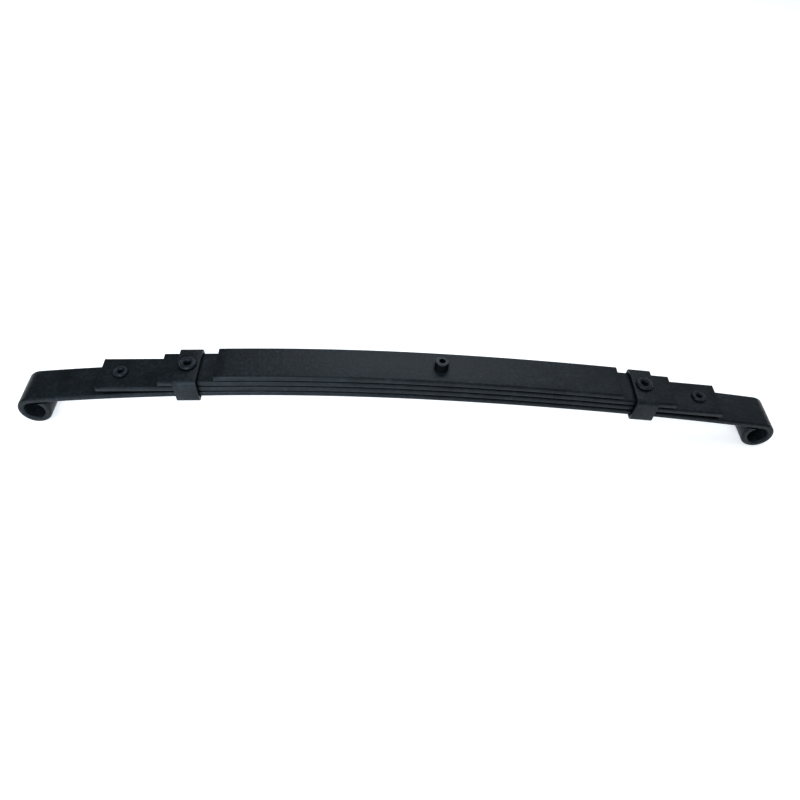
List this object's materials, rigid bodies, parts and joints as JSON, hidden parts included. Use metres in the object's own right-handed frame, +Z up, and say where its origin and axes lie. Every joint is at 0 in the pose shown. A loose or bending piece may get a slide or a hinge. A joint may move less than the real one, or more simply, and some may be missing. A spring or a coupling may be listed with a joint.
{
  "type": "leaf spring",
  "caption": "Arched leaf spring for a light vehicle: stacked steel leaves on a centre bolt, rolled eyes at the ends of the main leaf, riveted rebound clips and tip pads.",
  "frame": {"origin": "centre of the bore of the eye at the long end (the eye farther from the centre bolt), at the middle of the width", "axes": "+X from the long end's eye to the short end's eye, +Y along the eyes' bores, +Z up, on the outside of the arch"},
  "size_m": [0.7376, 0.0474, 0.0827],
  "materials": {
    "leaf_paint": "satin black paint over rolled spring steel",
    "clip_paint": "satin black paint over bent steel strap",
    "bolt_steel": "black oxide, satin",
    "rivet_steel": "satin black paint, worn brighter on the rims",
    "pad_rubber": "matt black"
  },
  "bodies": {
    "leaf_pack": {"main_leaf": "leaf_paint", "second_leaf": "leaf_paint", "third_leaf": "leaf_paint", "top_leaf": "leaf_paint", "centre_bolt": "bolt_steel", "centre_nut": "bolt_steel", "long_end_clip_rivet": "rivet_steel", "short_end_clip_rivet": "rivet_steel", "long_end_tip_pad": "pad_rubber", "short_end_tip_pad": "pad_rubber", "long_end_tip_rivet": "rivet_steel", "short_end_tip_rivet": "rivet_steel"},
    "long_end_clip": {"long_end_clip": "clip_paint"},
    "short_end_clip": {"short_end_clip": "clip_paint"}
  },
  "joints": [
    {"name": "long_end_clip_swivel", "type": "hinge", "parent": "leaf_pack", "child": "long_end_clip", "pos_m": [0.14825, 0, 0.04829], "axis": [-0.0606, 0, 0.9982], "range_deg": [-2, 2]},
    {"name": "short_end_clip_swivel", "type": "hinge", "parent": "leaf_pack", "child": "short_end_clip", "pos_m": [0.58248, 0, 0.04355], "axis": [0.0695, 0, 0.9976], "range_deg": [-2, 2]}
  ]
}
